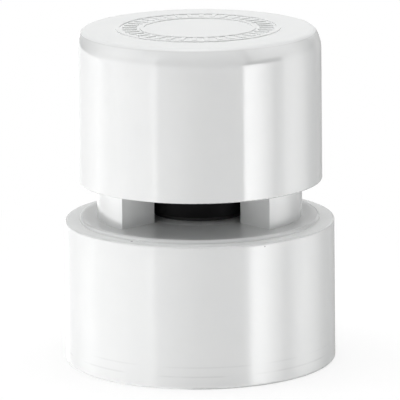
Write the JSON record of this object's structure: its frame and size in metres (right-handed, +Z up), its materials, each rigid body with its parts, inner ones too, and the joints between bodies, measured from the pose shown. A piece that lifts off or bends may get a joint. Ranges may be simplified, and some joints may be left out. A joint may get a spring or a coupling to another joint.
{
  "type": "air admittance valve",
  "caption": "White plastic air admittance valve: pipe socket, valve body with side air windows, black riser and a domed cap over a membrane that lifts under suction.",
  "frame": {"origin": "centre of the socket's foot, on the face that it stands on", "axes": "+Z up along the pipe's axis, from the socket to the cap; the air windows face -Y and +Y"},
  "size_m": [0.0462, 0.0462, 0.0573],
  "materials": {
    "pvc_white": "glossy injection-moulded PVC",
    "black_plastic": "satin black moulding",
    "black_rubber": "matt black rubber",
    "natural_plastic": "satin natural polypropylene"
  },
  "bodies": {
    "housing": {"socket_sleeve": "pvc_white", "valve_body": "pvc_white", "riser_tube": "black_plastic", "riser_gasket": "black_rubber", "cap_seal": "black_rubber", "cap": "pvc_white"},
    "lifter": {"membrane": "black_rubber", "membrane_carrier": "natural_plastic"}
  },
  "joints": [
    {"name": "valve_lift", "type": "slide", "parent": "housing", "child": "lifter", "axis": [0, 0, 1], "range_m": [0, 0.0045]}
  ]
}
